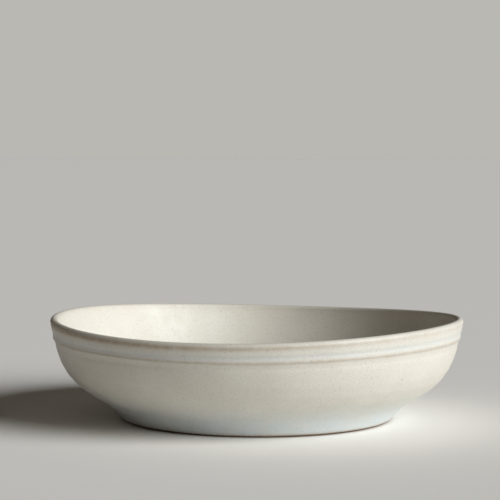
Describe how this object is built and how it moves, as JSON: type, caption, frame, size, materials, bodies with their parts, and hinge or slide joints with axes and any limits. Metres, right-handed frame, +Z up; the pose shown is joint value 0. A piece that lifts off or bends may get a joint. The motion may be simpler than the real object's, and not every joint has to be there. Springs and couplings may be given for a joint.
{
  "type": "coupe bowl",
  "caption": "Wide shallow stoneware coupe bowl with a rounded lip, a grooved and ridged collar, a full belly and a low foot ring, satin glazed.",
  "frame": {"origin": "centre of the foot ring's flat bottom, on the plane the bowl rests on", "axes": "+Z up along the bowl's turning axis; the picture looks along +Y with +X to the right"},
  "size_m": [0.22, 0.22, 0.0546],
  "materials": {
    "clay": "bare fired stoneware",
    "glaze": "satin off-white glaze with fine speckle",
    "base_glaze": "satin off-white glaze"
  },
  "bodies": {
    "root": {"stoneware_body": "clay", "glaze_coat": "glaze", "base_glaze": "base_glaze"}
  },
  "joints": []
}
